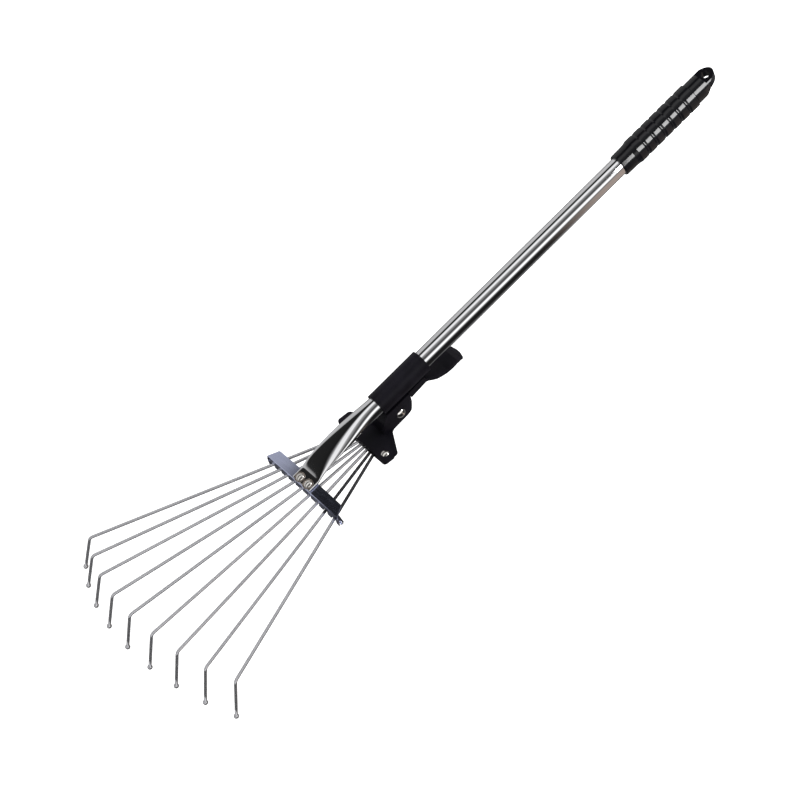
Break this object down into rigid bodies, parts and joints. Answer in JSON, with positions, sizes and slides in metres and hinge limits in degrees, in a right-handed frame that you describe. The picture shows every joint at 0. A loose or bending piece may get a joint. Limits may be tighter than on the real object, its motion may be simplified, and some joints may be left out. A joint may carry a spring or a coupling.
{
  "type": "leaf rake",
  "caption": "Short-handled adjustable leaf rake: spring wire tines fan out through a notched bar, and a slider with a cam lever on the chromed tube sets the fan's width.",
  "frame": {"origin": "middle of the hanging hole in the grip, on the tube's axis", "axes": "+X along the tube towards the grip's end, +Y across the fan, +Z away from the side that the tine tips point to"},
  "size_m": [0.831, 0.2602, 0.0792],
  "materials": {
    "tube": "bright chrome plate",
    "grip": "glossy moulded",
    "bar": "bright blue-white zinc plate",
    "hardware": "bright nickel",
    "wire": "drawn stainless wire",
    "slider": "satin moulded"
  },
  "bodies": {
    "handle": {"tube": "tube", "grip": "grip", "spreader_bar": "bar", "retaining_rod": "wire", "bar_rivets": "hardware", "rivet_washers": "hardware"},
    "slider": {"slider_body": "slider", "cover_plate": "slider", "cover_rivets": "hardware", "lever_pin": "hardware"},
    "lever": {"cam_lever": "slider"},
    "tine_1": {"tine_1": "wire"},
    "tine_2": {"tine_2": "wire"},
    "tine_3": {"tine_3": "wire"},
    "tine_4": {"tine_4": "wire"},
    "tine_5": {"tine_5": "wire"},
    "tine_6": {"tine_6": "wire"},
    "tine_7": {"tine_7": "wire"},
    "tine_8": {"tine_8": "wire"},
    "tine_9": {"tine_9": "wire"}
  },
  "joints": [
    {"name": "slider_slide", "type": "slide", "parent": "handle", "child": "slider", "axis": [1, 0, 0], "range_m": [0, 0.06]},
    {"name": "lever_hinge", "type": "hinge", "parent": "slider", "child": "lever", "pos_m": [-0.4639, 0, -0.0235], "axis": [0, 1, 0], "range_deg": [0, 90]},
    {"name": "tine_1_hinge", "type": "hinge", "parent": "slider", "child": "tine_1", "pos_m": [-0.5059, 0.01639, -0.0338], "axis": [0, -0.3819, 0.9242], "range_deg": [0, 10.12]},
    {"name": "tine_2_hinge", "type": "hinge", "parent": "slider", "child": "tine_2", "pos_m": [-0.5059, 0.01229, -0.03401], "axis": [0, -0.5547, 0.8321], "range_deg": [0, 8.76]},
    {"name": "tine_3_hinge", "type": "hinge", "parent": "slider", "child": "tine_3", "pos_m": [-0.5059, 0.00819, -0.03415], "axis": [0, -0.7471, 0.6648], "range_deg": [0, 7.49]},
    {"name": "tine_4_hinge", "type": "hinge", "parent": "slider", "child": "tine_4", "pos_m": [-0.5059, 0.0041, -0.03424], "axis": [0, -0.9229, 0.3851], "range_deg": [0, 6.55]},
    {"name": "tine_5_hinge", "type": "hinge", "parent": "slider", "child": "tine_5", "pos_m": [-0.5059, 0, -0.03427], "axis": [0, -1, 0], "range_deg": [0, 6.45]},
    {"name": "tine_6_hinge", "type": "hinge", "parent": "slider", "child": "tine_6", "pos_m": [-0.5059, -0.0041, -0.03424], "axis": [0, -0.9229, -0.3851], "range_deg": [0, 6.55]},
    {"name": "tine_7_hinge", "type": "hinge", "parent": "slider", "child": "tine_7", "pos_m": [-0.5059, -0.00819, -0.03415], "axis": [0, -0.7471, -0.6648], "range_deg": [0, 7.49]},
    {"name": "tine_8_hinge", "type": "hinge", "parent": "slider", "child": "tine_8", "pos_m": [-0.5059, -0.01229, -0.03401], "axis": [0, -0.5547, -0.8321], "range_deg": [0, 8.76]},
    {"name": "tine_9_hinge", "type": "hinge", "parent": "slider", "child": "tine_9", "pos_m": [-0.5059, -0.01639, -0.0338], "axis": [0, -0.3819, -0.9242], "range_deg": [0, 10.12]}
  ],
  "couplings": [
    {"joint": "tine_1_hinge", "follows": "slider_slide", "rad_per_m": 2.91},
    {"joint": "tine_2_hinge", "follows": "slider_slide", "rad_per_m": 2.514},
    {"joint": "tine_3_hinge", "follows": "slider_slide", "rad_per_m": 2.144},
    {"joint": "tine_4_hinge", "follows": "slider_slide", "rad_per_m": 1.87},
    {"joint": "tine_5_hinge", "follows": "slider_slide", "rad_per_m": 1.84},
    {"joint": "tine_6_hinge", "follows": "slider_slide", "rad_per_m": 1.87},
    {"joint": "tine_7_hinge", "follows": "slider_slide", "rad_per_m": 2.144},
    {"joint": "tine_8_hinge", "follows": "slider_slide", "rad_per_m": 2.514},
    {"joint": "tine_9_hinge", "follows": "slider_slide", "rad_per_m": 2.91}
  ]
}
